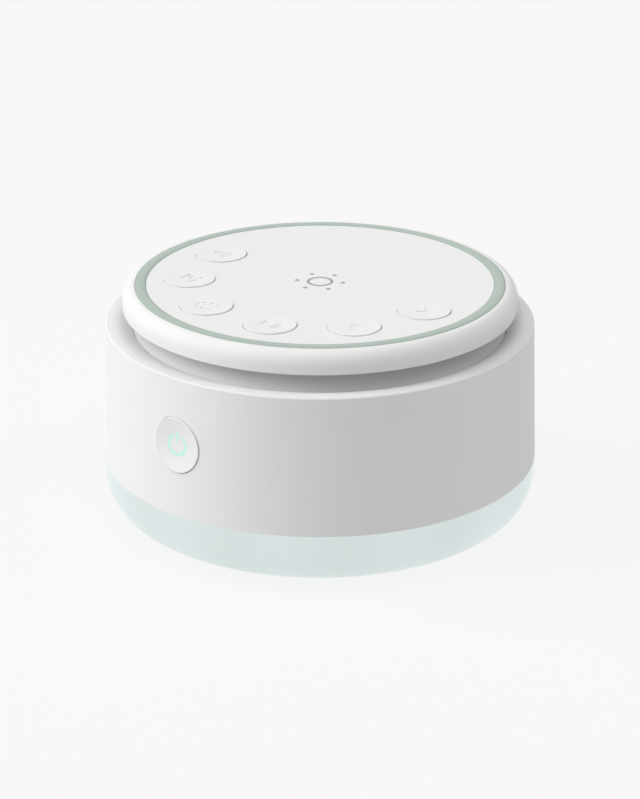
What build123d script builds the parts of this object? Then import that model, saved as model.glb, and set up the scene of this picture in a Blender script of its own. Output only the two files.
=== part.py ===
"""White noise sound machine, in millimetres.

The machine stands on the XY plane at Z = 0, on its four rubber feet, and its middle axis is Z.
The front, with the power button, faces -Y. The USB-C inlet and the sound slots face +Y.
"""
from math import atan2, cos, degrees, pi, radians, sin, sqrt
import os

from build123d import *

# ---------------------------------------------------------------- outside form, from the floor up
foot_stand = 1.2            # the feet lift the base this far
band_height = 15.9          # diffuser band, from the base to the housing
wall_height = 35.3          # housing wall, from the diffuser to the lip
gap_height = 4.05           # from the lip up to the underside of the top disc
disc_height = 5.55          # thickness of the top disc

# ---------------------------------------------------------------- outside form, from the outside in
joint_radius = 55.0         # where the housing meets the diffuser, the widest place
wall_draft = 1.1            # the housing narrows this much on its way up to the lip
lip_round = 0.35            # rounding of the lip
shelf_drop = 1.5            # the shelf inside the lip falls this far to the neck
shelf_crown = 0.88          # share of that drop by which its middle stands over its inner edge
disc_inset = 4.3            # from the lip in to the widest place of the disc's rim
disc_bulge_height = 2.05    # the widest place lies this far above the disc's underside
disc_edge_inset = 0.1       # from the widest place in to the rim's lower edge
neck_inset = 2.7            # from the widest place in to the neck under the disc
rim_width = 3.2             # from the widest place in to the accent ring
ring_width = 2.8            # accent ring
ring_edge = 0.12            # rounding of its edges
corner_reach = 22.0         # the diffuser's rounded corner, from the joint inwards
corner_power = 3.1          # exponent of that corner's superellipse

# ---------------------------------------------------------------- walls and fits
shell_wall = 2.2            # housing
diffuser_wall = 2.2
neck_wall = 2.0
panel_thickness = 2.0
ledge_thickness = 2.0       # ledges that carry another moulding
board_thickness = 1.2       # circuit boards
seam = 0.05                 # play between pieces that are fixed to each other
neck_seam = 0.15            # open seam between the shelf and the neck
key_play = 0.12             # open gap round a key or the power button
slide_play = 0.1            # play between a moving flange or plunger and its stop

# ---------------------------------------------------------------- keys on the panel
key_count = 6
key_pitch_angle = 36.0
key_margin = 4.2            # from the accent ring in to the keys
key_radius = 6.5
key_rise = 0.25             # the keys' rims stand proud of the panel
key_dish_depth = 0.2
key_rim = 0.45              # rim round the dish
key_edge = 0.1              # rounding of that rim and of its hole
key_travel = 0.5
key_flange = 1.0            # the flange reaches this far past the key's side
key_flange_thickness = 1.0
key_flange_room = 0.8       # between the flanges and the ledge that carries the panel
key_shell = 1.2             # thickness of the key's top under the dish
key_side = 1.2              # thickness of its side
plunger_radius = 1.3
icon_depth = 0.15
icon_stroke = 0.6
switch_size = 4.6
switch_cap_height = 0.4
switch_cap_radius = 1.2

# ---------------------------------------------------------------- power button
button_drop = 17.0          # its middle, below the lip
button_radius = 7.0
button_rise = 0.3           # its face stands proud of the wall
button_edge = 0.15          # rounding of the face's edge
button_dish_depth = 0.85
button_rim = 0.35           # rim round the dish
button_face = 1.4           # thickness of its face under the dish
button_side = 1.3
button_setback = 3.5        # its flange lies this far behind the outside of the wall
button_flange = 1.4
button_flange_thickness = 1.0
button_stem = 1.0           # its plunger reaches this far past the flange
button_travel = 0.6
button_switch_size = 6.0
button_switch_body = 1.6
button_switch_height = 2.2
button_board_height = 14.0
button_board_margin = 3.0   # board left round its screws
button_post_radius = 2.6
button_post_room = 0.6      # between the posts and the button's flange
button_led_offset = 4.4
button_led_size = (1.6, 0.9, 0.8)
guide_thickness = 1.0       # plate of the light guide behind the button's face
mark_radius = 2.6           # power mark: middle line of its open ring
mark_stroke = 0.75
mark_gap_angle = 64.0
mark_bar_low = 1.1
mark_bar_high = 2.9

# ---------------------------------------------------------------- top assembly
neck_pocket = 2.9           # the neck goes this far down past the shelf
ledge_reach = 4.4           # the housing's ledge reaches this far in past the neck
neck_boss_radius = 3.0
neck_boss_inset = 1.5       # from the inside of the neck in to the middle of its bosses
neck_screw_angle = 25.0
clip_angles = (30.0, 90.0, 150.0, 234.0, 306.0)
clip_width = 6.0
clip_thickness = 1.2
clip_hook = 0.9
clip_play = 0.2
panel_post_room = 4.1       # between the posts and the keys' flanges
panel_post_radius = 2.3
panel_post_height = 3.1     # from the panel down to the key board
electrode_radius = 9.0
electrode_thickness = 0.2
contact_radius = 1.6
slot_count = 19
slot_width = 1.7
slot_height = 3.3
slot_pitch_angle = 5.0
slot_drop = 0.4             # below the disc's underside
mesh_thickness = 0.3
mesh_margin = 0.8           # the mesh reaches this far under the slots

# ---------------------------------------------------------------- speaker
baffle_thickness = 2.2
baffle_seat = 1.6           # the baffle reaches this far out under the ledge
baffle_lug_radius = 3.2
surround_outer_radius = 23.0
speaker_flange = 5.0        # from the surround out to the speaker's rim
surround_width = 4.0
surround_sheet = 0.35
surround_room = 0.4         # open ring round the surround
cap_radius = 7.0
cap_height = 2.0
cap_sheet = 0.35
basket_sheet = 0.8
basket_depth = 8.6
basket_window = 8.0
magnet_radius = 15.0
magnet_height = 5.6
magnet_floor = 1.5          # left under the groove
gasket_thickness = 0.8
cone_depth = 5.5
cone_sheet = 0.4
coil_wall = 0.5
coil_play = 0.3
coil_room = 1.0             # open ring round the coil in the basket's floor
coil_reach = 3.0            # the coil dips this far into the magnet
terminal_size = (8.0, 2.4, 3.0)

# ---------------------------------------------------------------- light chamber and boards
tray_thickness = 2.0
rebate_wall = 1.1           # housing wall left outside the tray
pillar_inset = 9.0          # from the joint in to the middle of the pillars
pillar_radius = 3.2
rib_thickness = 1.6
pillar_screw_depth = 8.0
light_ring_room = 4.0       # from the pillars' middles in to the light board
light_ring_width = 11.0
led_count = 12
led_size = 5.0
led_height = 1.6
standoff_height = 2.4
standoff_radius = 2.7
standoff_inset = 9.5        # from the main board's edge in to its standoffs
standoff_angle = 30.0
main_board_room = 2.3       # between the main board and the pillars
main_board_tail = 16.0      # width of the tail under the inlet
tail_room = 2.0             # between the tail and the housing
header_size = (7.6, 2.5)
header_room = 0.5           # round the header in the tray
chips = (                   # length, width, height, inset from the board's edge, angle
    (9.0, 9.0, 1.2, 20.5, 143.0),
    (5.0, 6.0, 1.6, 12.0, 161.5),
    (6.0, 6.0, 1.0, 20.7, 45.0),
    (4.0, 6.0, 1.4, 9.1, 59.5),
    (7.0, 7.0, 2.8, 7.9, 137.5),
)
capacitor_radius = 3.1
capacitor_height = 7.0
capacitors = ((11.0, -28.5), (10.1, -9.5))      # inset from the board's edge, angle
plug_size = (6.0, 4.0, 3.6)
plug_inset = 4.0            # from the board's edge in to the button's plug
inlet_width = 8.94
inlet_height = 3.26
inlet_depth = 7.3
inlet_sheet = 0.3
inlet_back = 1.0
inlet_tongue = (6.6, 0.7)
inlet_recess = 0.7          # its mouth lies this far under the wall's outside
inlet_play = 0.25
cable_width = 8.0
cable_thickness = 0.3
cable_plug_thickness = 3.0
cable_plug_margin = 1.5
key_plug_height = 1.6
cable_inset = 3.5           # from the key board's edge in to the flat cable
wire_radius = 0.6
wire_pitch = 2.0
wire_bend = 1.6
button_plug_size = (6.0, 3.4, 3.2)
button_plug_rise = 4.6      # above the button's axis

# ---------------------------------------------------------------- base
base_reach = 5.0            # the flange reaches this far out under the diffuser's corner
base_flange = 2.1           # the flange reaches this far past the plug
base_flange_thickness = 1.2
base_plug_height = 2.8      # the plug fills the diffuser's opening
base_post_room = 1.7        # between the posts and the light board
base_post_radius = 4.3
base_post_height = 8.0
base_screw_web = 3.0        # post left over the screws' heads
foot_radius = 5.5
foot_recess = 0.8
foot_edge = 0.5

# ---------------------------------------------------------------- screws
screw_play = 0.05           # between a screw and its hole
screw_tip_room = 0.4        # left at the end of a blind hole
head_room = 0.3             # round a sunk head
big_screw = (2.7, 1.8, 1.25)      # head radius, head height, shank radius
small_screw = (1.8, 1.0, 0.8)
neck_screw_depth = 6.0      # into the neck's bosses
small_screw_depth = 1.8     # into a thin piece
post_screw_depth = 3.0      # into a post

# ---------------------------------------------------------------- heights that follow
z_base = foot_stand
z_joint = z_base + band_height
z_lip = z_joint + wall_height
z_disc = z_lip + gap_height
z_bulge = z_disc + disc_bulge_height
z_top = z_disc + disc_height
z_shelf = z_lip - shelf_drop
z_deck_under = z_shelf - shell_wall
z_ledge = z_shelf - neck_pocket                  # the neck stands on this ledge
z_ledge_under = z_ledge - ledge_thickness
z_baffle_under = z_ledge_under - baffle_thickness
z_speaker = z_baffle_under - gasket_thickness    # top of the speaker's flange
z_cone = z_speaker - cone_depth
z_magnet = z_speaker - basket_depth - basket_sheet
z_magnet_under = z_magnet - magnet_height
z_slot = z_disc - slot_drop - slot_height        # foot of the sound slots
z_panel = z_top - panel_thickness                # underside of the panel
z_seat_under = z_panel - ledge_thickness
z_key_board = z_panel - panel_post_height        # top of the key board
z_key_board_under = z_key_board - board_thickness
z_key_plug = z_key_board_under - key_plug_height
z_key_flange = z_panel - slide_play
z_key_under = z_key_flange - key_flange_thickness
z_key_rim = z_top + key_rise
z_key_dish = z_key_rim - key_dish_depth
z_tray = z_joint + tray_thickness
z_light_board = z_joint - board_thickness        # underside of the light board
z_main_board_under = z_tray + standoff_height
z_main_board = z_main_board_under + board_thickness
z_plug = z_main_board + plug_size[2]
z_inlet = z_main_board + inlet_height / 2
z_button = z_lip - button_drop
z_button_plug = z_button + button_plug_rise
z_terminals = z_speaker - basket_sheet - terminal_size[2]
z_base_plug = z_base + base_plug_height
z_base_post = z_base_plug + base_post_height
z_base_head = z_base_post - base_screw_web       # seat of the base screws

# ---------------------------------------------------------------- radii that follow
lip_radius = joint_radius - wall_draft
disc_radius = lip_radius - disc_inset
disc_edge_radius = disc_radius - disc_edge_inset
neck_radius = disc_radius - neck_inset
neck_inner_radius = neck_radius - neck_wall
shelf_radius = neck_radius + neck_seam
collar_radius = shelf_radius + shell_wall
ledge_radius = neck_radius - neck_wall - ledge_reach
ring_outer_radius = disc_radius - rim_width
ring_inner_radius = ring_outer_radius - ring_width
key_circle = ring_inner_radius - key_margin - key_radius
key_flange_radius = key_radius + key_flange
seat_radius = key_circle + key_flange_radius + key_flange_room
panel_post_circle = key_circle - key_flange_radius - panel_post_room - panel_post_radius
clip_radius = seat_radius - clip_play
key_board_radius = clip_radius - clip_thickness - clip_play
neck_screw_circle = neck_inner_radius - neck_boss_inset
baffle_radius = ledge_radius + baffle_seat
speaker_radius = surround_outer_radius + speaker_flange
speaker_screw_circle = (speaker_radius + surround_outer_radius) / 2
surround_inner_radius = surround_outer_radius - surround_width
coil_radius = cap_radius
corner_radius = joint_radius - corner_reach
base_radius = corner_radius + base_reach
base_plug_radius = base_radius - base_flange
rebate_radius = joint_radius - rebate_wall
tray_radius = rebate_radius - seam
pillar_circle = joint_radius - pillar_inset
light_ring_outer = pillar_circle - light_ring_room
light_ring_inner = light_ring_outer - light_ring_width
light_circle = (light_ring_outer + light_ring_inner) / 2
base_post_circle = light_ring_inner - base_post_room - base_post_radius
main_board_radius = pillar_circle - pillar_radius - main_board_room
standoff_circle = main_board_radius - standoff_inset
cable_x = cable_inset - key_board_radius
button_plug_y = plug_inset - main_board_radius


def wall_radius(z):
    """Outside radius of the housing at a height."""
    return joint_radius - wall_draft * (z - z_joint) / wall_height


def inner_wall_radius(z):
    return wall_radius(z) - shell_wall


# ---------------------------------------------------------------- the power button's place and stack
button_wall = wall_radius(z_button)
button_flange_radius = button_radius + button_flange
button_length = button_setback + button_flange_thickness
button_face_depth = button_dish_depth - button_rise + button_face
switch_depth = button_length + button_stem + button_travel + slide_play
button_board_depth = switch_depth + button_switch_height
button_board_back = button_board_depth + board_thickness
button_post_offset = button_flange_radius + button_post_room + button_post_radius
button_plane = Plane(origin=(0, -button_wall, z_button), x_dir=(1, 0, 0), z_dir=(0, -1, 0))

STAND = (Align.CENTER, Align.CENTER, Align.MIN)


# ---------------------------------------------------------------- shared shapes
def disc(radius, z_low, z_high, place=(0, 0)):
    """An upright cylinder between two heights."""
    return Pos(place[0], place[1], z_low) * Cylinder(radius, z_high - z_low, align=STAND)


def tube(outer, inner, z_low, z_high):
    """A flat ring or an upright tube between two heights."""
    return disc(outer, z_low, z_high) - disc(inner, z_low, z_high)


def block(size_x, size_y, z_low, z_high, place=(0, 0)):
    """An upright box between two heights."""
    return Pos(place[0], place[1], z_low) * Box(size_x, size_y, z_high - z_low, align=STAND)


def polar(radius, angle):
    return (radius * cos(radians(angle)), radius * sin(radians(angle)))


def around(count, radius, first_angle=45.0):
    """Even places on a circle."""
    return [polar(radius, first_angle + 360.0 * i / count) for i in range(count)]


def turned_sketch(sketch):
    return revolve(Plane.XZ * sketch, Axis.Z)


def turned(outline):
    """The solid that an (r, z) outline sweeps round the Z axis."""
    return turned_sketch(make_face(outline))


def at_button(depth, x=0, z=0):
    """A place inside the power button's hole, with its local Z axis pointing out of the wall."""
    return button_plane * Pos(x, z, -depth)


def screw(kind, length):
    """A cross-head screw: its head hangs under the XY plane and its shank points up."""
    head_radius, head_height, shank_radius = kind
    arm = head_radius * 1.2
    cross = Box(arm, arm / 4, head_height) + Box(arm / 4, arm, head_height)
    head = disc(head_radius, -head_height, 0) - Pos(0, 0, -head_height) * cross
    return head + disc(shank_radius, 0, length)


def screws(kind, places, z_seat, length, up=True):
    turn = Rot(0, 0, 0) if up else Rot(180, 0, 0)
    return group([Pos(x, y, z_seat) * turn * screw(kind, length) for x, y in places])


def screw_holes(kind, places, z_low, z_high):
    """The holes that the shanks of screws run through."""
    return [disc(kind[2] + screw_play, z_low, z_high, place) for place in places]


def group(solids):
    """Separate equal pieces that share one node."""
    return Compound(children=list(solids))


def bar(length, width, angle=0.0, x=0.0, y=0.0):
    """A flat bar with round ends, as a sketch."""
    return Pos(x, y) * Rot(0, 0, angle) * SlotOverall(length, width)


def sector(radius, start, size, steps=6):
    """A sketch of a pie slice, with straight sides between its rim's corners."""
    rim = [polar(radius, start + size * i / steps) for i in range(steps + 1)]
    return make_face(Polyline((0, 0), *rim, close=True))


def arc_band(radius, stroke, start, size):
    """A flat band along an arc, as a sketch."""
    band = Circle(radius + stroke / 2) - Circle(radius - stroke / 2)
    return band if size >= 360 else band & sector(3 * radius, start, size)


# ---------------------------------------------------------------- places
key_angles = [-90.0 + key_pitch_angle * (i - (key_count - 1) / 2) for i in range(key_count)]
key_places = [polar(key_circle, angle) for angle in key_angles]
neck_screw_places = [polar(neck_screw_circle, angle) for angle in (
    neck_screw_angle, 180 - neck_screw_angle, 180 + neck_screw_angle, -neck_screw_angle)]
panel_post_places = around(4, panel_post_circle)
pillar_places = around(4, pillar_circle)
base_post_places = around(4, base_post_circle)
standoff_places = around(4, standoff_circle, standoff_angle)
capacitor_places = [polar(main_board_radius - inset, angle) for inset, angle in capacitors]
speaker_screw_places = around(4, speaker_screw_circle)
light_screw_places = around(4, light_circle)


# ---------------------------------------------------------------- housing
def outer_form(rise=0.0):
    """The flared drum that the housing's outside follows, or one that stands a little proud of it."""
    return Pos(0, 0, z_joint) * Cone(joint_radius + rise, lip_radius + rise, wall_height, align=STAND)


def make_housing():
    lip_inner = lip_radius - lip_round
    lip_start = (wall_radius(z_lip - lip_round), z_lip - lip_round)
    lip_middle = (lip_inner + lip_round * sin(pi / 4), z_lip - lip_round * (1 - sin(pi / 4)))
    lip = ThreePointArc(lip_start, lip_middle, (lip_inner, z_lip))
    shelf_middle = ((lip_inner + shelf_radius) / 2, z_shelf + shelf_crown * shelf_drop)
    shelf = ThreePointArc((lip_inner, z_lip), shelf_middle, (shelf_radius, z_shelf))
    walls = Polyline(
        (shelf_radius, z_shelf), (shelf_radius, z_ledge), (ledge_radius, z_ledge),
        (ledge_radius, z_ledge_under), (collar_radius, z_ledge_under), (collar_radius, z_deck_under),
        (inner_wall_radius(z_deck_under), z_deck_under), (inner_wall_radius(z_tray), z_tray),
        (rebate_radius, z_tray), (rebate_radius, z_joint), (joint_radius, z_joint), lip_start)
    housing = turned(walls + lip + shelf)
    housing += pillars()
    housing += [(at_button(button_board_depth, side * button_post_offset) * Cylinder(
        button_post_radius, button_board_depth - shell_wall / 2, align=STAND)) & outer_form()
        for side in (-1, 1)]
    housing -= [at_button(button_board_depth, side * button_post_offset) * Cylinder(
        small_screw[2] + screw_play, post_screw_depth + screw_tip_room, align=STAND) for side in (-1, 1)]
    housing -= screw_holes(big_screw, pillar_places, z_tray, z_tray + pillar_screw_depth + screw_tip_room)
    housing -= screw_holes(big_screw, neck_screw_places, z_ledge_under, z_ledge)
    housing -= at_button(2 * shell_wall) * Cylinder(button_radius + key_play, 3 * shell_wall, align=STAND)
    return housing - inlet_hole()


def pillars():
    """Four posts under the ledge, each with a rib to the wall."""
    pieces = [disc(pillar_radius, z_tray, z_ledge_under, place) for place in pillar_places]
    rib_length = inner_wall_radius(z_tray) + shell_wall / 2 - pillar_circle
    rib = Pos(pillar_circle, 0, z_tray) * Box(
        rib_length, rib_thickness, z_ledge_under - z_tray, align=(Align.MIN, Align.CENTER, Align.MIN))
    for x, y in pillar_places:
        pieces.append((Rot(0, 0, degrees(atan2(y, x))) * rib) & outer_form())
    return pieces


def inlet_hole():
    hole = SlotOverall(inlet_width + 2 * inlet_play, inlet_height + 2 * inlet_play)
    plane = Plane(origin=(0, joint_radius + shell_wall, z_inlet), x_dir=(1, 0, 0), z_dir=(0, -1, 0))
    return extrude(plane * hole, 4 * shell_wall)


# ---------------------------------------------------------------- diffuser
def diffuser_outline(thickness, points=9):
    """The diffuser's outside, or its inside when set in by a wall: a superellipse corner, filled in."""
    across = corner_reach - thickness
    down = band_height - thickness
    turns = [pi / 2 * i / (points - 1) for i in range(1, points - 1)]
    middle = [(corner_radius + across * cos(t) ** (2 / corner_power),
               z_joint - down * sin(t) ** (2 / corner_power)) for t in turns]
    start = (corner_radius + across, z_joint)
    end = (corner_radius, z_joint - down)
    corner = Spline(start, *middle, end, tangents=[(0, -1), (-1, 0)])
    return corner + Polyline(end, (0, z_joint - down), (0, z_joint), start)


def make_diffuser():
    diffuser = turned(diffuser_outline(0)) - turned(diffuser_outline(diffuser_wall))
    diffuser -= disc(base_plug_radius + seam, 0, z_joint)
    return diffuser - disc(base_radius + seam, 0, z_base + base_flange_thickness)


# ---------------------------------------------------------------- top
def make_upper_shell():
    rim_inner = ring_outer_radius + seam
    lower = EllipticalCenterArc((disc_edge_radius, z_bulge), disc_edge_inset, disc_bulge_height,
                                start_angle=-90, arc_size=90)
    upper = EllipticalCenterArc((rim_inner, z_bulge), disc_radius - rim_inner, z_top - z_bulge,
                                start_angle=0, arc_size=90)
    rest = Polyline((rim_inner, z_top), (rim_inner, z_panel), (seat_radius, z_panel),
                    (seat_radius, z_seat_under), (neck_inner_radius, z_seat_under),
                    (neck_inner_radius, z_ledge), (neck_radius, z_ledge), (neck_radius, z_disc),
                    (disc_edge_radius, z_disc))
    shell = turned(lower + upper + rest)
    z_boss = z_ledge + neck_screw_depth + 2 * screw_tip_room
    shell += [disc(neck_boss_radius, z_ledge, z_boss, place) & disc(neck_radius, z_ledge, z_boss)
              for place in neck_screw_places]
    shell -= screw_holes(big_screw, neck_screw_places, z_ledge, z_ledge + neck_screw_depth + screw_tip_room)
    return shell - sound_slots()


def sound_slots():
    """Upright slots in the back of the neck."""
    slot = SlotOverall(slot_height, slot_width)
    plane = Plane(origin=(0, 0, z_slot + slot_height / 2), x_dir=(0, 0, 1), z_dir=(1, 0, 0))
    cutter = Pos(neck_inner_radius - neck_wall, 0, 0) * extrude(plane * slot, 3 * neck_wall)
    return [Rot(0, 0, 90 + slot_pitch_angle * (i - (slot_count - 1) / 2)) * cutter for i in range(slot_count)]


def make_dust_mesh():
    outer = neck_inner_radius - seam
    strip = tube(outer, outer - mesh_thickness, z_slot - mesh_margin, z_key_board_under)
    size = slot_pitch_angle * (slot_count + 1)
    return strip & extrude(sector(2 * outer, 90 - size / 2, size), z_top)


def make_panel():
    panel = disc(ring_inner_radius - seam, z_panel, z_top)
    panel -= [disc(key_radius + key_play, z_panel, z_top, place) for place in key_places]
    hole_rims = panel.faces().sort_by(Axis.Z)[-1].inner_wires().edges()
    panel = fillet(hole_rims, key_edge)
    panel += [disc(panel_post_radius, z_key_board, z_panel, place) for place in panel_post_places]
    panel -= screw_holes(small_screw, panel_post_places, z_key_board, z_panel)
    return panel + [Rot(0, 0, angle) * panel_clip() for angle in clip_angles]


def panel_clip():
    """A spring arm that hooks under the ledge, on the +X side."""
    z_hook = z_seat_under - slide_play
    arm = Pos(clip_radius, 0, z_hook - clip_hook) * Box(
        clip_thickness, clip_width, z_panel - z_hook + clip_hook, align=(Align.MAX, Align.CENTER, Align.MIN))
    hook = Pos(clip_radius, 0, z_hook - clip_hook) * Box(
        clip_hook, clip_width, clip_hook, align=(Align.MIN, Align.CENTER, Align.MIN))
    return arm + hook


def make_accent_ring():
    ring = tube(ring_outer_radius, ring_inner_radius, z_panel, z_top)
    return fillet(ring.faces().sort_by(Axis.Z)[-1].edges(), ring_edge)


def make_key_board():
    board = disc(key_board_radius, z_key_board_under, z_key_board)
    return board - screw_holes(small_screw, panel_post_places, z_key_board_under, z_key_board)


def make_key_switches():
    z_cap = z_key_under - key_travel - slide_play
    return group([block(switch_size, switch_size, z_key_board, z_cap - switch_cap_height, place)
                  + disc(switch_cap_radius, z_key_board, z_cap, place) for place in key_places])


# ---------------------------------------------------------------- keys
# The icons are drawn in millimetres about the key's middle, with +Y towards the inlet.
def icon_volume():
    horn = make_face(Polyline((-2.3, 0.5), (-1.7, 0.5), (-0.5, 1.6), (-0.5, -1.6), (-1.7, -0.5), (-2.3, -0.5),
                              close=True))
    waves = [Pos(-0.6, 0) * arc_band(radius, icon_stroke, -40, 80) for radius in (1.6, 2.8)]
    return horn + waves


def icon_timer():
    hands = [bar(1.5, icon_stroke, 90, 0, 0.5), bar(1.3, icon_stroke, 0, 0.4, 0)]
    bells = [bar(1.2, icon_stroke, -side * 40, side * 1.95, 2.15) for side in (-1, 1)]
    return arc_band(2.0, icon_stroke, 0, 360) + hands + bells


def icon_sound():
    icon = bar(6.4, icon_stroke)
    for x, length in ((-2.0, 0.9), (0.0, 1.6), (2.0, 1.1)):
        icon += bar(length, icon_stroke, 90, x, 0.85 + length / 2)
        icon += bar(length, icon_stroke, 90, -x, -0.85 - length / 2)
    return icon


def icon_play():
    outside = make_face(Polyline((-2.6, 1.5), (0.1, 0), (-2.6, -1.5), close=True))
    inside = make_face(Polyline((-2.1, 0.7), (-0.9, 0), (-2.1, -0.7), close=True))
    return outside - inside + [bar(3.0, icon_stroke, 90, x, 0) for x in (1.2, 2.3)]


def icon_chevron(side):
    arm = 2.6
    shift = arm * cos(radians(45)) / 2
    return bar(arm + icon_stroke, icon_stroke, -side * 45, 0, shift) + bar(
        arm + icon_stroke, icon_stroke, side * 45, 0, -shift)


def make_key(place, icon):
    """A dished key with a flange under the panel and a plunger over its switch."""
    dish_radius = key_radius - key_rim
    ball_radius = (dish_radius ** 2 + key_dish_depth ** 2) / (2 * key_dish_depth)
    key = disc(key_radius, z_key_under, z_key_rim)
    key = fillet(key.edges().sort_by(Axis.Z)[-1], key_edge)
    key += disc(key_flange_radius, z_key_under, z_key_flange)
    key -= Pos(0, 0, z_key_dish + ball_radius) * Sphere(ball_radius)
    key -= disc(key_radius - key_side, z_key_under, z_key_dish - key_shell)
    key += disc(plunger_radius, z_key_under, z_key_dish - key_shell)
    key -= extrude(Pos(0, 0, z_key_dish - icon_depth) * icon, key_dish_depth + icon_depth)
    return Pos(place[0], place[1], 0) * key


# ---------------------------------------------------------------- power button
def mark_sketch(grow=0.0):
    """The power mark: an open ring and a bar, as a sketch."""
    stroke = mark_stroke + 2 * grow
    ring = arc_band(mark_radius, stroke, 90 + mark_gap_angle / 2, 360 - mark_gap_angle)
    bar_length = mark_bar_high - mark_bar_low + stroke
    return ring + bar(bar_length, stroke, 90, 0, (mark_bar_high + mark_bar_low) / 2)


def button_dish():
    """A shallow bowl whose rim follows the wall's curve: a short arc swept round an upright axis."""
    rim_radius = button_radius - button_rim
    face_radius = button_wall + button_rise
    wall_sag = face_radius - sqrt(face_radius ** 2 - rim_radius ** 2)
    side_depth = button_dish_depth - wall_sag
    tall_radius = (rim_radius ** 2 + button_dish_depth ** 2) / (2 * button_dish_depth)
    wide_radius = (rim_radius ** 2 + side_depth ** 2) / (2 * side_depth)
    height = 2 * button_dish_depth
    profile = Pos(tall_radius - button_dish_depth, 0) * Circle(tall_radius) & Rectangle(
        2 * height, 4 * button_radius)
    sweep_angle = 4 * degrees(button_radius / wide_radius)
    middle = Plane(origin=(0, 0, 0), x_dir=(0, -1, 0), z_dir=(-1, 0, 0))
    axis = Axis((0, button_dish_depth - wide_radius, 0), (0, 0, 1))
    bowl = revolve(middle * profile, axis, sweep_angle).rotate(axis, -sweep_angle / 2)
    lean = degrees(atan2(wall_draft, wall_height))
    return Pos(0, -face_radius, z_button) * Rot(-lean, 0, 0) * bowl


def make_power_button():
    blank = at_button(button_length) * Cylinder(button_radius, 2 * button_length, align=STAND)
    blank &= outer_form(button_rise)
    blank = fillet(blank.faces().sort_by(Axis.Y)[0].edges(), button_edge)
    blank -= extrude(at_button(button_length) * mark_sketch(seam), 2 * button_length)
    button = blank - button_dish()
    button += at_button(button_length) * Cylinder(button_flange_radius, button_flange_thickness, align=STAND)
    button -= at_button(button_length) * Cylinder(
        button_radius - button_side, button_length - button_face_depth, align=STAND)
    return button + at_button(button_length + button_stem) * Cylinder(
        plunger_radius, button_length + button_stem - button_face_depth, align=STAND)


def make_power_light_guide():
    """A plate behind the button's face, with the power mark standing through it."""
    plate = Circle(button_radius - button_side - seam) - Circle(plunger_radius + seam)
    guide = extrude(at_button(button_face_depth) * mark_sketch(), button_face_depth + button_rise)
    guide -= button_dish()
    return guide + extrude(at_button(button_face_depth + guide_thickness) * plate, guide_thickness)


def make_power_board():
    width = 2 * (button_post_offset + button_board_margin)
    board = at_button(button_board_back) * Box(width, button_board_height, board_thickness, align=STAND)
    return board - [at_button(button_board_back, side * button_post_offset) * Cylinder(
        small_screw[2] + screw_play, board_thickness, align=STAND) for side in (-1, 1)]


def make_power_board_screws():
    piece = screw(small_screw, board_thickness + post_screw_depth)
    return group([at_button(button_board_back, side * button_post_offset) * piece for side in (-1, 1)])


def make_power_switch():
    body = Box(button_switch_size, button_switch_size, button_switch_body, align=STAND)
    cap = Cylinder(plunger_radius, button_switch_height, align=STAND)
    return at_button(button_board_depth) * (body + cap)


def make_power_leds():
    led = Box(*button_led_size, align=STAND)
    return group([at_button(button_board_depth, side * button_led_offset) * led for side in (-1, 1)])


def make_power_connector():
    length, width, depth = button_plug_size
    return at_button(button_board_back + depth, 0, button_plug_rise) * Box(length, width, depth, align=STAND)


def make_power_leads():
    """Two wires that leave the button's plug level and turn down to the main board."""
    start_y = button_board_back + button_plug_size[2] - button_wall
    leads = []
    for x in (-wire_pitch / 2, wire_pitch / 2):
        start = (x, start_y, z_button_plug)
        path = FilletPolyline(start, (x, button_plug_y, z_button_plug), (x, button_plug_y, z_plug),
                              radius=wire_bend)
        leads.append(sweep(Plane(origin=start, z_dir=(0, 1, 0)) * Circle(wire_radius), path))
    return group(leads)


# ---------------------------------------------------------------- speaker
def make_baffle():
    baffle = disc(baffle_radius, z_baffle_under, z_ledge_under)
    baffle += [disc(baffle_lug_radius, z_baffle_under, z_ledge_under, place) for place in neck_screw_places]
    baffle -= screw_holes(big_screw, neck_screw_places, z_baffle_under, z_ledge_under)
    baffle -= screw_holes(small_screw, speaker_screw_places, z_baffle_under, z_ledge_under)
    baffle -= disc(surround_outer_radius + surround_room, z_baffle_under, z_ledge_under)
    slot_side = 2 * cable_plug_margin
    return baffle - block(cable_thickness + slot_side, cable_width + slot_side,
                          z_baffle_under, z_ledge_under, (cable_x, 0))


def make_gasket():
    ring = tube(speaker_radius, surround_outer_radius + surround_room, z_speaker, z_baffle_under)
    return ring - screw_holes(small_screw, speaker_screw_places, z_speaker, z_baffle_under)


def make_basket():
    z_low = z_speaker - basket_depth
    low_radius = magnet_radius - basket_sheet
    outline = Polyline(
        (speaker_radius, z_speaker), (speaker_radius, z_speaker - basket_sheet),
        (surround_outer_radius, z_speaker - basket_sheet), (low_radius, z_low - basket_sheet),
        (coil_radius + coil_room, z_low - basket_sheet), (coil_radius + coil_room, z_low),
        (low_radius - basket_sheet, z_low), (surround_outer_radius - basket_sheet, z_speaker),
        close=True)
    window = Pos((low_radius + surround_outer_radius) / 2, 0, (z_low + z_speaker) / 2) * Box(
        basket_window, basket_window, basket_depth / 2)
    basket = turned(outline) - [Rot(0, 0, 90 * i) * window for i in range(4)]
    return basket - screw_holes(small_screw, speaker_screw_places, z_speaker - basket_sheet, z_speaker)


def make_magnet():
    groove = tube(coil_radius + coil_play, coil_radius - coil_wall - coil_play,
                  z_magnet_under + magnet_floor, z_magnet)
    return disc(magnet_radius, z_magnet_under, z_magnet) - groove


def make_coil():
    return tube(coil_radius, coil_radius - coil_wall, z_magnet - coil_reach, z_cone)


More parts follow.
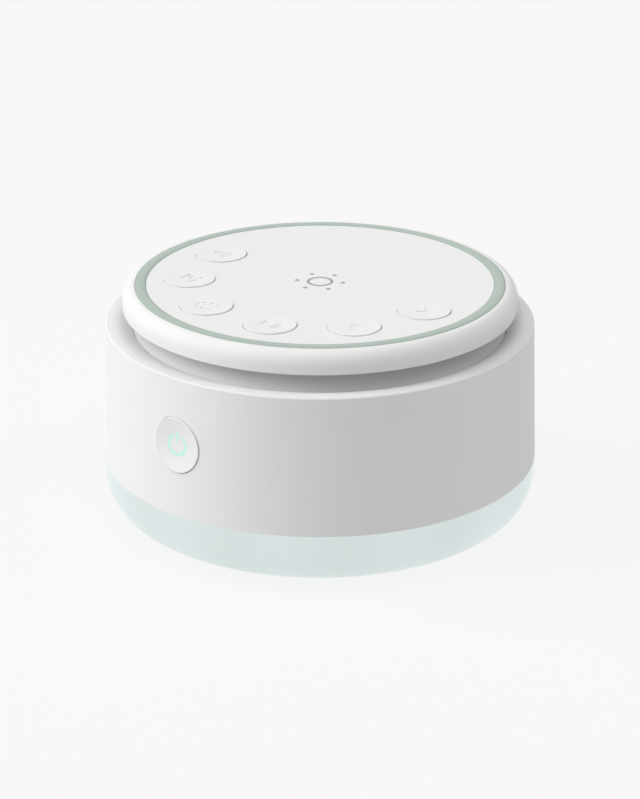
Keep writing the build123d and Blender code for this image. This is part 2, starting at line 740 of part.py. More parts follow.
def make_cone():
    rim = surround_inner_radius + surround_sheet
    return turned(Polyline(
        (rim, z_speaker), (rim, z_speaker - cone_sheet), (coil_radius + cone_sheet, z_cone),
        (coil_radius - coil_wall, z_cone), (coil_radius - coil_wall, z_cone + cone_sheet),
        (coil_radius + cone_sheet / 2, z_cone + cone_sheet), (rim - 2 * surround_sheet, z_speaker),
        close=True))


def make_surround():
    middle = (surround_outer_radius + surround_inner_radius) / 2
    roll = surround_width / 2
    ring = Circle(roll) - Circle(roll - surround_sheet)
    arch = ring & Rectangle(4 * roll, 2 * roll, align=(Align.CENTER, Align.MIN))
    return turned_sketch(Pos(middle, z_speaker) * arch)


def make_dust_cap():
    ball_radius = (cap_radius ** 2 + cap_height ** 2) / (2 * cap_height)
    z_low = z_cone + cone_sheet
    shell = Sphere(ball_radius) - Sphere(ball_radius - cap_sheet)
    return (Pos(0, 0, z_low + cap_height - ball_radius) * shell) & disc(cap_radius, z_low, z_speaker)


def make_speaker_leads():
    return group([disc(wire_radius, z_plug, z_terminals, (x, speaker_screw_circle))
                  for x in (-wire_pitch / 2, wire_pitch / 2)])


# ---------------------------------------------------------------- light tray and boards
def make_tray():
    tray = disc(tray_radius, z_joint, z_tray)
    tray += [disc(standoff_radius, z_tray, z_main_board_under, place) for place in standoff_places]
    tray += [disc(base_post_radius, z_base_post, z_joint, place) for place in base_post_places]
    tray -= screw_holes(small_screw, standoff_places, z_tray, z_main_board_under)
    tray -= screw_holes(big_screw, base_post_places, z_base_post, z_joint)
    tray -= screw_holes(big_screw, pillar_places, z_joint, z_tray)
    tray -= screw_holes(small_screw, light_screw_places, z_joint, z_tray)
    return tray - block(header_size[0] + 2 * header_room, header_size[1] + 2 * header_room,
                        z_joint, z_tray, (0, -light_circle))


def make_light_board():
    board = tube(light_ring_outer, light_ring_inner, z_light_board, z_joint)
    return board - screw_holes(small_screw, light_screw_places, z_light_board, z_joint)


def make_leds():
    led = block(led_size, led_size, z_light_board - led_height, z_light_board, (light_circle, 0))
    return group([Rot(0, 0, 360.0 / led_count * i) * led for i in range(led_count)])


def make_main_board():
    tail_end = wall_radius(z_inlet) - shell_wall - tail_room
    board = disc(main_board_radius, z_main_board_under, z_main_board)
    board += Pos(0, 0, z_main_board_under) * Box(
        main_board_tail, tail_end, board_thickness, align=(Align.CENTER, Align.MIN, Align.MIN))
    return board - screw_holes(small_screw, standoff_places, z_main_board_under, z_main_board)


def make_inlet():
    plane = Plane(origin=(0, wall_radius(z_inlet) - inlet_recess, z_inlet), x_dir=(1, 0, 0), z_dir=(0, -1, 0))
    inside = SlotOverall(inlet_width - 2 * inlet_sheet, inlet_height - 2 * inlet_sheet)
    shell = extrude(plane * SlotOverall(inlet_width, inlet_height), inlet_depth)
    shell -= extrude(plane * inside, inlet_depth - inlet_back)
    return shell + extrude(plane * Pos(0, 0, inlet_back) * Rectangle(*inlet_tongue), inlet_depth - inlet_back)


def make_board_connectors():
    cable_plug = block(cable_plug_thickness, cable_width + 2 * cable_plug_margin, z_main_board, z_plug,
                       (cable_x, 0))
    plugs = [block(plug_size[0], plug_size[1], z_main_board, z_plug, (0, y))
             for y in (button_plug_y, speaker_screw_circle)]
    return group([cable_plug, *plugs])


# ---------------------------------------------------------------- base
def make_base_plate():
    base = disc(base_radius, z_base, z_base + base_flange_thickness)
    base += disc(base_plug_radius, z_base, z_base_plug)
    base += [disc(base_post_radius, z_base, z_base_post, place) for place in base_post_places]
    base -= [disc(foot_radius + seam, z_base, z_base + foot_recess, place) for place in base_post_places]
    base -= [disc(big_screw[0] + head_room, z_base, z_base_head, place) for place in base_post_places]
    return base - screw_holes(big_screw, base_post_places, z_base_head, z_base_post)


def make_feet():
    foot = disc(foot_radius, 0, z_base + foot_recess)
    foot = fillet(foot.edges().sort_by(Axis.Z)[0], foot_edge)
    return group([Pos(x, y, 0) * foot for x, y in base_post_places])


# ---------------------------------------------------------------- all nodes
base_screw_length = z_joint - z_base_head - screw_tip_room
tray_screw_length = tray_thickness + pillar_screw_depth
neck_screw_length = baffle_thickness + ledge_thickness + neck_screw_depth
key_screw_length = board_thickness + post_screw_depth - screw_tip_room
speaker_screw_length = basket_sheet + gasket_thickness + small_screw_depth
key_icons = {
    "volume_key": icon_volume(),
    "timer_key": icon_timer(),
    "sound_key": icon_sound(),
    "play_key": icon_play(),
    "back_key": icon_chevron(-1),
    "next_key": icon_chevron(1),
}
nodes = {
    "base_plate": make_base_plate(),
    "rubber_feet": make_feet(),
    "base_screws": screws(big_screw, base_post_places, z_base_head, base_screw_length),
    "light_diffuser": make_diffuser(),
    "light_board": make_light_board(),
    "light_leds": make_leds(),
    "light_board_screws": screws(small_screw, light_screw_places, z_light_board,
                                 board_thickness + small_screw_depth),
    "light_header": block(*header_size, z_joint, z_main_board_under, (0, -light_circle)),
    "light_tray": make_tray(),
    "tray_screws": screws(big_screw, pillar_places, z_joint, tray_screw_length),
    "main_board": make_main_board(),
    "main_board_screws": screws(small_screw, standoff_places, z_main_board,
                                board_thickness + small_screw_depth, up=False),
    "board_chips": group([block(length, width, z_main_board, z_main_board + height,
                                polar(main_board_radius - inset, angle))
                          for length, width, height, inset, angle in chips]),
    "board_capacitors": group([disc(capacitor_radius, z_main_board, z_main_board + capacitor_height, place)
                               for place in capacitor_places]),
    "board_connectors": make_board_connectors(),
    "usb_inlet": make_inlet(),
    "main_housing": make_housing(),
    "power_button": make_power_button(),
    "power_light_guide": make_power_light_guide(),
    "power_board": make_power_board(),
    "power_board_screws": make_power_board_screws(),
    "power_switch": make_power_switch(),
    "power_leds": make_power_leds(),
    "power_connector": make_power_connector(),
    "power_leads": make_power_leads(),
    "speaker_baffle": make_baffle(),
    "speaker_gasket": make_gasket(),
    "speaker_basket": make_basket(),
    "speaker_magnet": make_magnet(),
    "speaker_coil": make_coil(),
    "speaker_cone": make_cone(),
    "speaker_surround": make_surround(),
    "speaker_dust_cap": make_dust_cap(),
    "speaker_terminals": block(terminal_size[0], terminal_size[1], z_terminals, z_speaker - basket_sheet,
                               (0, speaker_screw_circle)),
    "speaker_leads": make_speaker_leads(),
    "speaker_screws": screws(small_screw, speaker_screw_places, z_speaker - basket_sheet,
                             speaker_screw_length),
    "neck_screws": screws(big_screw, neck_screw_places, z_baffle_under, neck_screw_length),
    "upper_shell": make_upper_shell(),
    "dust_mesh": make_dust_mesh(),
    "accent_ring": make_accent_ring(),
    "control_panel": make_panel(),
    "touch_electrode": disc(electrode_radius, z_panel - electrode_thickness, z_panel),
    "touch_contact": disc(contact_radius, z_key_board, z_panel - electrode_thickness),
    "key_board": make_key_board(),
    "key_board_screws": screws(small_screw, panel_post_places, z_key_board_under, key_screw_length),
    "key_switches": make_key_switches(),
    "key_connector": block(cable_plug_thickness, cable_width + 2 * cable_plug_margin,
                           z_key_plug, z_key_board_under, (cable_x, 0)),
    "key_cable": block(cable_thickness, cable_width, z_plug, z_key_plug, (cable_x, 0)),
}
for place, (name, icon) in zip(key_places, key_icons.items()):
    nodes[name] = make_key(place, icon)

os.makedirs("parts", exist_ok=True)
for name, shape in nodes.items():
    export_step(shape, f"parts/{name}.step")
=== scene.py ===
# %% [markdown]
# # A bedside sound machine
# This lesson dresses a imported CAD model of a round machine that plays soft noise. It is 110 mm
# across: a white drum with a glowing band at its foot, a dished power button in its front, and a
# floating disc on top with six dished keys and a sage green ring.
# The solids come from the CAD model and stay where they are. This script adds what a render needs:
# a camera, a studio, the finish of every moulding, and the forms that Geometry Nodes make well.

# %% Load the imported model
from math import acos, cos, pi, radians, sin

import bpy
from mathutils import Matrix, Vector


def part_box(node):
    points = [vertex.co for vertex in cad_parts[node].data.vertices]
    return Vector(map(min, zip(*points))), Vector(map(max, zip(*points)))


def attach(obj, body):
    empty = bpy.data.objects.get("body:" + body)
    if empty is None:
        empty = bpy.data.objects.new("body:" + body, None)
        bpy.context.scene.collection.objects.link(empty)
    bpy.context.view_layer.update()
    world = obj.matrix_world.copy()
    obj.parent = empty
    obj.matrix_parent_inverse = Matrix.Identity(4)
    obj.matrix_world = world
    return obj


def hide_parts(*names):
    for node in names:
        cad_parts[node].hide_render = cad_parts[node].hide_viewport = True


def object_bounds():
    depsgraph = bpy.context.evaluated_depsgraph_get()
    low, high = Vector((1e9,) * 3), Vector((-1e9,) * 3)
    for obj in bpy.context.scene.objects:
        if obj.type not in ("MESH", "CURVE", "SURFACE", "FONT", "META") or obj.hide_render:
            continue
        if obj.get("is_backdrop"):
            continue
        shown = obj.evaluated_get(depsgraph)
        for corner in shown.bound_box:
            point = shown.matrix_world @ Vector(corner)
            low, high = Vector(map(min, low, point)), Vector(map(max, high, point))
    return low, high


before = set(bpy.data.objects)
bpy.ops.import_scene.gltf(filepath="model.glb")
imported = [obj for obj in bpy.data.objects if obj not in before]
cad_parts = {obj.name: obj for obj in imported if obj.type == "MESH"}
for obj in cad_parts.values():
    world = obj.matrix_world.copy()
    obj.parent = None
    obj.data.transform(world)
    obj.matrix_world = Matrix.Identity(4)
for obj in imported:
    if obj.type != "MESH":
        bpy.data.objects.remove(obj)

MM = 0.001
cad_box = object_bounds()
print("CAD box in mm:", [round(v / MM, 2) for corner in cad_box for v in corner])

# %% [markdown]
# ## The camera
# A long lens from 0.7 m away keeps the drum's ellipses calm, as a catalogue picture does. The
# camera stands to the right of the front and looks 22 degrees down, so both the keys and the power
# button show. An aim is a distance, a height and two angles, and no helper object is needed.

# %% Stand the camera
camera_turn = radians(39.5)          # from the front, towards the right
camera_dip = radians(22.3)
camera_reach = 0.6529                # from the machine's axis, along the floor
camera_height = 0.2978
film_width, lens_length = 36, 124.7  # in millimetres, as on a real camera

camera = bpy.data.objects.new("camera", bpy.data.cameras.new("camera"))
bpy.context.scene.collection.objects.link(camera)
camera.location = (
    sin(camera_turn) * camera_reach, -cos(camera_turn) * camera_reach, camera_height)
camera.rotation_euler = (pi / 2 - camera_dip, 0, camera_turn)
camera.data.sensor_width = film_width
camera.data.lens = lens_length
bpy.context.scene.camera = camera
print("camera at", [round(v, 3) for v in camera.location])

# %% [markdown]
# ## Arithmetic on sockets
# A material is a graph of nodes, and most of its nodes are sums. Written out one by one they hide
# the idea. So a Wire wraps one output socket and lends Python's operators to it, and
# `grain * 0.3 + 0.4` adds the two Math nodes that it needs. A Board wraps a node tree, and its
# method `add` makes any node. The same two classes serve materials, the sky and Geometry Nodes.

# %% Wire and Board
class Wire:
    """An output socket that understands arithmetic."""

    def __init__(self, board, socket):
        self.board, self.socket = board, socket

    def math(self, operation, *others):
        """A Math node on this value and, where it takes more, on the others."""
        values = dict(enumerate((self, *others)))
        return self.board.add("ShaderNodeMath", {"operation": operation}, values)

    def of(self, output):
        """Another output of the same node."""
        return Wire(self.board, self.socket.node.outputs[output])

    def clamp(self):
        """The value kept between 0 and 1."""
        return self.board.add("ShaderNodeClamp", {}, {"Value": self})

    def __add__(self, other):
        return self.math("ADD", other)

    def __sub__(self, other):
        return self.math("SUBTRACT", other)

    def __rsub__(self, other):
        return self.math("MULTIPLY_ADD", -1.0, other)

    def __mul__(self, other):
        return self.math("MULTIPLY", other)

    def __truediv__(self, other):
        return self.math("DIVIDE", other)

    def __rtruediv__(self, other):
        return self ** -1.0 * other

    def __pow__(self, other):
        return self.math("POWER", other)

    def __lt__(self, other):
        return self.math("LESS_THAN", other)

    def __gt__(self, other):
        return self.math("GREATER_THAN", other)

    __radd__ = __add__
    __rmul__ = __mul__


class Board:
    """A node tree and the one way in which nodes are put on it."""

    def __init__(self, tree):
        self.tree = tree

    def add(self, kind, settings=None, sockets=None, out=0):
        """A node with its settings and its sockets' values or wires. The Wire is one output."""
        node = self.tree.nodes.new(kind)
        for name, value in (settings or {}).items():
            setattr(node, name, value)
        for key, value in (sockets or {}).items():
            if isinstance(value, Wire):
                self.tree.links.new(value.socket, node.inputs[key])
            else:
                node.inputs[key].default_value = value
        return Wire(self, node.outputs[out]) if node.outputs else node

    def tint(self, factor, first, second):
        """A colour between two colours."""
        colours = {0: factor, 6: first, 7: second}
        return self.add("ShaderNodeMix", {"data_type": "RGBA"}, colours, out=2)

    def noise(self, place, size, detail=2.0, rough=0.5):
        """Soft noise whose blobs are about `size` across."""
        sockets = {"Vector": place, "Scale": 1 / size, "Detail": detail, "Roughness": rough}
        return self.add("ShaderNodeTexNoise", {}, sockets)

    def axes(self, place):
        """The X, Y and Z of a vector."""
        split = self.add("ShaderNodeSeparateXYZ", {}, {0: place})
        return split, split.of("Y"), split.of("Z")


def linear(red, green, blue):
    """A screen colour from 0 to 255 as the linear colour that a shader takes."""
    def one(v):
        v = v / 255
        return v / 12.92 if v <= 0.04045 else ((v + 0.055) / 1.055) ** 2.4
    return (one(red), one(green), one(blue), 1.0)


print("white 238 is", round(linear(238, 238, 238)[0], 3), "in linear light")

# %% [markdown]
# ## The studio
# Softboxes light the machine: wide discs of light, far off, that are painted straight into the
# sky. For each one, the dot product of a ray's direction with the disc's own direction says how
# near the ray is to the disc's middle. The largest stand on the left and light the drum from
# that side. The others fill the right, the top and, weakly, the back. Little light comes
# from low in front, so the gap under the floating disc stays dark. The floor throws light back up.
# The camera sees the sky and the floor in the same pale tone. Glossy rays see it too, so metal
# has something bright to show. The floor still darkens where the machine stands on it.

# %% Light the machine
pale = 0.94                          # the backdrop's tone, in linear light
floor_return = 0.7                   # what the floor throws back
floor_size = 3.0                     # half its side, in metres
floor_level = -0.02 * MM             # a hair below the feet
floor_tone = 0.9
shade_share = 0.1                    # how much of its own shadow the pale floor shows
softboxes = {                        # turn from the camera, towards the right; height; strength
    "left_low": (-87, 12, 1.9),
    "left": (-87, 35, 3.6),
    "top": (0, 60, 2.4),
    "right": (90, 35, 1.6),
    "back": (180, 35, 0.4),
    "back_top": (180, 60, 0.5),
    "over": (0, 90, 0.5),
}
full_within = cos(radians(15))       # a softbox is at full strength this near its middle
none_beyond = cos(radians(29))

world = bpy.data.worlds.new("studio")
bpy.context.scene.world = world
world.use_nodes = True
world.node_tree.nodes.clear()
sky = Board(world.node_tree)


def seen(board):
    """1 for the rays that show a backdrop: camera, glossy and transmitted ones."""
    path = board.add("ShaderNodeLightPath", out="Is Camera Ray")
    return (path + path.of("Is Glossy Ray") + path.of("Is Transmission Ray")).clamp()


def softbox(turn, height, strength):
    """A disc of light in the sky, soft at its edge."""
    across = camera_turn - pi / 2 + radians(turn)
    rise = radians(height)
    middle = (cos(across) * cos(rise), sin(across) * cos(rise), sin(rise))
    ray = sky.add("ShaderNodeTexCoord", out="Generated")
    nearness = sky.add(
        "ShaderNodeVectorMath", {"operation": "DOT_PRODUCT"}, {0: ray, 1: middle}, out="Value")
    return ((nearness - none_beyond) / (full_within - none_beyond)).clamp() * strength


glow = sum(softbox(*place) for place in softboxes.values())
box_light = sky.add("ShaderNodeBackground", {}, {"Color": (1, 1, 1, 1), "Strength": glow})
pale_light = sky.add("ShaderNodeBackground", {}, {"Color": (pale, pale, pale, 1), "Strength": 1.0})
both = sky.add("ShaderNodeMixShader", {}, {0: seen(sky), 1: box_light, 2: pale_light})
sky.add("ShaderNodeOutputWorld", {}, {"Surface": both})

floor_mesh = bpy.data.meshes.new("floor")
corners = [(x * floor_size, y * floor_size, floor_level)
           for x, y in ((-1, -1), (1, -1), (1, 1), (-1, 1))]
floor_mesh.from_pydata(corners, [], [(0, 1, 2, 3)])
floor = bpy.data.objects.new("floor", floor_mesh)
bpy.context.scene.collection.objects.link(floor)
paper = bpy.data.materials.new("floor_paper")
paper.use_nodes = True
paper.node_tree.nodes.clear()
board = Board(paper.node_tree)
bounce = board.add("ShaderNodeEmission", {}, {"Color": (1, 1, 1, 1), "Strength": floor_return})
matt = board.add("ShaderNodeBsdfDiffuse", {}, {"Color": (floor_tone, floor_tone, floor_tone, 1)})
paper_glow = board.add("ShaderNodeEmission", {}, {"Color": (pale, pale, pale, 1), "Strength": 1.0})
sheet = board.add("ShaderNodeMixShader", {}, {0: shade_share, 1: paper_glow, 2: matt})
whole = board.add("ShaderNodeMixShader", {}, {0: seen(board), 1: bounce, 2: sheet})
board.add("ShaderNodeOutputMaterial", {}, {"Surface": whole})
floor_mesh.materials.append(paper)
floor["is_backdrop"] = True
bpy.context.scene.view_settings.view_transform = "Standard"
print("softboxes:", len(softboxes), "sky nodes:", len(world.node_tree.nodes))

# %% [markdown]
# ## Moulded plastic
# Most of the machine is injection-moulded. A mould is spark-eroded, and its fine grain prints on
# the resin: that is the `grain`, some tenths of a millimetre across and a few microns deep. The
# resin also drifts a little in tone and gloss where it cooled slower, over 30 mm or so. One recipe
# takes the grain's size and depth, so the drum, the panel, the keys and the trays share it and
# still differ. Handling polishes the grain: faint rubs, drawn long and thin, are thin streaks of
# gloss. The speaker's painted basket, grainy too, takes the same recipe.

# %% A recipe for resin
def material(name):
    """A new empty material with its Board."""
    made = bpy.data.materials.new(name)
    made.use_nodes = True
    made.node_tree.nodes.clear()
    return made, Board(made.node_tree)


def surface(board, **sockets):
    """The Principled shader that ends a material. Underscores stand for spaces in socket names."""
    named = {key.replace("_", " "): value for key, value in sockets.items()}
    shader = board.add("ShaderNodeBsdfPrincipled", {}, named)
    board.add("ShaderNodeOutputMaterial", {}, {"Surface": shader})


def bump(board, height, depth, strength=0.5):
    """A normal that is tilted by a height map."""
    return board.add(
        "ShaderNodeBump", {}, {"Strength": strength, "Distance": depth, "Height": height})


def shade(colour, factor):
    """A colour made lighter or darker."""
    return tuple(min(1.0, c * factor) for c in colour[:3]) + (1.0,)


drift_size = 30 * MM
rub_length = 6 * MM
rub_turn = (0.3, 0.5, 0.9)            # askew, so that no rub lies along an axis
rub_squeeze = (1, 9, 9)


def moulded(name, colour, roughness, grain_size=0.25 * MM, grain_depth=0.004 * MM, tone=0.012,
            rubs=0.05, second=None, **constants):
    """A moulding. `second` gives a colour and a mask, where another tone is painted on: painted
    shade.
    """
    made, board = material(name)
    place = board.add("ShaderNodeTexCoord", out="Object")
    grain = board.noise(place, grain_size, detail=3.0, rough=0.6)
    drift = board.noise(place, drift_size, detail=1.0)
    drawn = board.add("ShaderNodeMapping", {},
                      {"Vector": place, "Rotation": rub_turn, "Scale": rub_squeeze})
    rub = board.noise(drawn, rub_length, detail=4.0, rough=0.7)
    body = board.tint(drift, shade(colour, 1 - tone), shade(colour, 1 + tone))
    gloss = roughness + (grain - 0.5) * 0.15 + (drift - 0.5) * 0.1 + (0.5 - rub) * rubs
    # a second tone through a mask: the shell's neck gets its painted shade this way
    if second:
        painted_shade, shade_mask_of = second
        mask = shade_mask_of(board, place)
        body = board.tint(mask, body, painted_shade)
        gloss = gloss + mask * 0.2
    tilt = bump(board, grain, grain_depth, strength=0.6)
    surface(board, Base_Color=body, Roughness=gloss, Normal=tilt, **constants)
    return made


housing_resin = linear(236, 236, 236)
housing_roughness = 0.45
dull = 0.08                           # the housing's resin shines less than the usual 0.5
finishes = {
    "housing_white": moulded(
        "housing_resin", housing_resin, housing_roughness, Specular_IOR_Level=dull),
    "panel_white": moulded(
        "panel_resin", linear(234, 234, 234), 0.36, 0.18 * MM, 0.003 * MM, rubs=0.09),
    "key_white": moulded(
        "key_resin", linear(235, 235, 235), 0.34, 0.18 * MM, 0.003 * MM, rubs=0.12),
    "button_white": moulded(
        "button_resin", linear(235, 235, 235), 0.34, 0.2 * MM, 0.003 * MM, rubs=0.12),
    "base_white": moulded(
        "base_resin", linear(228, 228, 227), 0.6, 0.5 * MM, 0.02 * MM, rubs=0.15),
    "tray_white": moulded("tray_resin", linear(222, 222, 218), 0.55, 0.4 * MM, 0.01 * MM),
    "connector_cream": moulded(
        "connector_nylon", linear(226, 217, 190), 0.45, 0.3 * MM, 0.006 * MM, tone=0.03),
    "connector_black": moulded(
        "connector_resin", linear(30, 30, 31), 0.45, 0.3 * MM, 0.006 * MM, tone=0.1),
    "switch_black": moulded(
        "switch_resin", linear(38, 38, 40), 0.4, 0.2 * MM, 0.004 * MM, tone=0.1),
    "chip_black": moulded(
        "chip_epoxy", linear(44, 45, 47), 0.62, 0.12 * MM, 0.006 * MM, tone=0.12),
    "foot_rubber": moulded(
        "foot_silicone", linear(172, 174, 173), 0.72, 0.35 * MM, 0.012 * MM, tone=0.04, rubs=0.2),
    "surround_rubber": moulded(
        "surround_butyl", linear(34, 34, 35), 0.5, 0.3 * MM, 0.006 * MM, tone=0.1),
    "cable_white": moulded(
        "cable_film", linear(224, 226, 228), 0.3, 0.6 * MM, 0.004 * MM, tone=0.03),
    "basket_steel": moulded(
        "basket_paint", linear(72, 72, 74), 0.4, 0.3 * MM, 0.006 * MM, tone=0.05),
    "wire_red": moulded(
        "wire_sleeve", linear(168, 40, 36), 0.38, 0.4 * MM, 0.004 * MM, tone=0.06),
}
print("resins and paints:", len(finishes))

# %% [markdown]
# ## The shadow gap
# The disc seems to float, because the neck that carries it stands back and is darker. It is the
# same moulding as the rim, with painted shade on its neck and on the flat face above the neck: a
# grey tone that stands in for the shadow of the gap. A mask of the place says where the shade is
# painted: below the disc's underside, and inside the rim's lower edge. The rim itself and all that
# is higher stay white. The painted shade is strongest under the disc and lightens towards the foot
# of the neck.

# %% Paint shade on the neck
def radius_of(board, place):
    """Distance of a point from the machine's axis."""
    x, y, _ = board.axes(place)
    return (x * x + y * y) ** 0.5


# painted shade: a grey that stands in for the shadow in the gap under the disc
painted_gap_shade = linear(186, 186, 186)
neck_foot = 51.0 * MM
foot_share = 0.1                      # of the painted shade is left at the neck's foot
shell_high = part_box("upper_shell")[1]
disc_radius = shell_high.x
disc_height = 5.55 * MM
disc_underside = shell_high.z - disc_height
shade_margin = 0.02 * MM              # takes in the underside itself
rim_edge = 0.3 * MM                   # left white along the disc's lower edge


def painted_shade_in_gap(board, place):
    """How strong the painted shade is at a place, from 0 to 1."""
    _, _, z = board.axes(place)
    under = z < disc_underside + shade_margin
    rise = ((z - neck_foot) / (disc_underside - neck_foot)).clamp()
    # the painted shade is strongest under the disc and lightens towards the neck's foot
    thickness = rise * (1 - foot_share) + foot_share
    return under * (radius_of(board, place) < disc_radius - rim_edge) * thickness


# the shell's resin, with painted shade on its neck
finishes["housing_white_and_grey"] = moulded(
    "shell_resin_and_painted_shade", housing_resin, housing_roughness, second=(painted_gap_shade, painted_shade_in_gap),
    Specular_IOR_Level=dull)
print("spray under z", round(disc_underside / MM, 2), "mm")

# %% [markdown]
# ## The sage ring
# The ring is a painted trim. It was turned, so its lacquer keeps very fine circles round the
# machine's axis. The distance from the axis, fed to a sine, draws them. Its tone is also a little
# darker at the ring's two edges: painted shade, where the ring meets the panel.

# %% Paint the ring
ring_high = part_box("accent_ring")[1]
ring_width = 2.8 * MM
ring_middle = ring_high.x - ring_width / 2
fleck_size = 0.12 * MM
paint_drift_size = 20 * MM


def turned_paint(name, colour, roughness, pitch, depth):
    """Lacquer on a turned ring. Its fine circles are `pitch` apart."""
    made, board = material(name)
    place = board.add("ShaderNodeTexCoord", out="Object")
    radius = radius_of(board, place)
    line = (radius * (2 * pi / pitch)).math("SINE")
    fleck = board.noise(place, fleck_size)
    drift = board.noise(place, paint_drift_size, detail=1.0)
    # painted shade: the ring is made darker towards both of its edges
    off = (radius - ring_middle).math("ABSOLUTE") / (ring_width / 2)
    painted_edge_shade = (off * off * off).clamp()
    body = board.tint(drift * 0.7 + fleck * 0.3, shade(colour, 0.97), shade(colour, 1.04))
    edge_shaded = board.tint(painted_edge_shade, body, shade(colour, 0.9))
    surface(board, Base_Color=edge_shaded, Roughness=roughness + (fleck - 0.5) * 0.2,
            Normal=bump(board, line * 0.5 + fleck, depth), Coat_Weight=0.1, Coat_Roughness=0.3)
    return made


finishes["ring_sage"] = turned_paint(
    "ring_lacquer", linear(169, 185, 174), 0.42, pitch=0.2 * MM, depth=0.0015 * MM)
print("ring finish:", finishes["ring_sage"].name)

# %% [markdown]
# ## Light that comes through
# The band at the foot is a milky resin over twelve small lamps. Light enters it, scatters and
# leaves a little further on, which the shader's subsurface does. The lamps are on, dimly, so the
# band also gives off a pale mint light. It is a touch stronger over each lamp: a cosine of the
# angle round the axis gives twelve soft maxima. It fades a little towards the foot, where less
# of the lamps' light reaches; this also paints in the shade on the band's lower corner.
# The power mark is a clear guide that stands through the button, lit in pale teal from behind.

# %% Make the band and the guide
lamp_count = 12
haze_size = 8 * MM
fade_height = 8 * MM                  # over the floor; the band's light fades below it
lit_grain_size = 0.2 * MM
lit_grain_depth = 0.002 * MM


def lit(name, colour, light, strength, roughness, lamps=0, **constants):
    """A resin that glows. Where `lamps` are counted: most over each, and least at the foot."""
    made, board = material(name)
    place = board.add("ShaderNodeTexCoord", out="Object")
    haze = board.noise(place, haze_size, detail=3.0, rough=0.6)
    body = board.tint(haze, shade(colour, 0.985), shade(colour, 1.015))
    fullness = haze * 0.2 + 0.75
    if lamps:
        x, y, z = board.axes(place)
        wave = (y.math("ARCTAN2", x) * lamps).math("COSINE")
        # less lamp light near the foot, and painted shade on the band's lower corner
        from_foot = (z / fade_height).clamp()
        fullness = wave * 0.1 + haze * 0.15 + from_foot * 0.7
    glow = board.tint(fullness, shade(light, 0.84), shade(light, 1.04))
    grain = board.noise(place, lit_grain_size)
    surface(board, Base_Color=body, Roughness=roughness + (grain - 0.5) * 0.1,
            Normal=bump(board, grain, lit_grain_depth), Emission_Color=glow,
            Emission_Strength=strength, **constants)
    return made


band_light, mark_light = (0.885, 1.0, 0.985, 1), (0.7, 1.0, 0.92, 1)
finishes["diffuser_mint"] = lit(
    "band_resin", linear(98, 105, 104), band_light, strength=0.66, roughness=0.5, lamps=lamp_count,
    Subsurface_Weight=0.35, Subsurface_Radius=(1.0, 1.1, 1.1), Subsurface_Scale=1.5 * MM,
    Specular_IOR_Level=0.15)
finishes["guide_teal"] = lit(
    "guide_resin", linear(150, 188, 180), mark_light, strength=0.38, roughness=0.3)
print("lit finishes:", finishes["diffuser_mint"].name, finishes["guide_teal"].name)

# %% [markdown]
# ## Metal
# Bare metal has its colour in its reflections. The zinc of a screw, the aluminium of a capacitor's
# can and the iron of the magnet differ in tint and in how dull they are. A slow noise clouds the
# plating, and a fine one roughens it.

# %% A recipe for metal
metal_grain_size = 0.08 * MM
metal_grain_depth = 0.002 * MM
cloud_tone = 0.06


def metal(name, colour, roughness, cloud_size=2 * MM, grain_depth=metal_grain_depth):
    """A bare or plated metal."""
    made, board = material(name)
    place = board.add("ShaderNodeTexCoord", out="Object")
    cloud = board.noise(place, cloud_size, detail=3.0, rough=0.6)
    grain = board.noise(place, metal_grain_size)
    body = board.tint(cloud, shade(colour, 1 - cloud_tone), shade(colour, 1 + cloud_tone))
    surface(board, Base_Color=body, Metallic=1.0, Roughness=roughness + (cloud - 0.5) * 0.2,
            Normal=bump(board, grain, grain_depth))
    return made


metals = {
    "screw_steel": metal("screw_zinc", linear(196, 199, 203), 0.34),
    "can_aluminium": metal("can_sleeve", linear(206, 208, 210), 0.38),
    "magnet_iron": metal("magnet_ferrite", linear(92, 92, 96), 0.6, 4 * MM, 0.006 * MM),
    "coil_copper": metal("coil_wire", linear(206, 128, 92), 0.32),
    "contact_spring": metal("contact_nickel", linear(200, 192, 172), 0.3),
}
finishes.update(metals)
print("metals:", len(metals))

# %% [markdown]
# The inlet is one solid in the CAD model, but two things on the real one: a nickel shell and a
# black tongue in its middle. A mask in the position tells them apart: 1 inside the tongue's
# section, 0 outside. It drives the colour and the metalness together.

# %% Part the inlet's shell from its tongue
inlet_low, inlet_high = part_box("usb_inlet")
inlet_z = (inlet_low.z + inlet_high.z) / 2
tongue_half_width = 3.32 * MM
tongue_half_height = 0.37 * MM
shell_cloud_size = 1.5 * MM


def shell_and_tongue(name):
    """Nickel outside the tongue's section, black resin inside it."""
    made, board = material(name)
    place = board.add("ShaderNodeTexCoord", out="Object")
    x, _, z = board.axes(place)
    within_width = x.math("ABSOLUTE") < tongue_half_width
    within_height = (z - inlet_z).math("ABSOLUTE") < tongue_half_height
    tongue = within_width * within_height
    cloud = board.noise(place, shell_cloud_size, detail=3.0, rough=0.6)
    nickel = board.tint(cloud, linear(190, 190, 188), linear(208, 208, 206))
    resin = board.tint(cloud, linear(26, 26, 27), linear(34, 34, 35))
    surface(board, Base_Color=board.tint(tongue, nickel, resin), Metallic=1 - tongue,
            Roughness=0.28 + cloud * 0.12 + tongue * 0.2,
            Normal=bump(board, board.noise(place, metal_grain_size), metal_grain_depth))
    return made


finishes["inlet_steel"] = shell_and_tongue("inlet_nickel_and_tongue")
print("inlet axis at z", round(inlet_z / MM, 2), "mm")

# %% [markdown]
# ## Boards, foam, paper and the lamps' gel
# These lie inside, and show only when the machine is taken apart. A circuit board's green mask is
# lighter where copper runs under it, in straight runs: the edges of Voronoi cells give such runs.
# Foam is dark in its pores, paper is streaked with its fibres, and a small lamp has a disc of
# yellow gel.

# %% Finish what lies inside
cell_size = 2.2 * MM
copper_share = 0.12                   # of a cell, on each side of its edge
copper_height = 0.01 * MM
mask_haze_size = 6 * MM


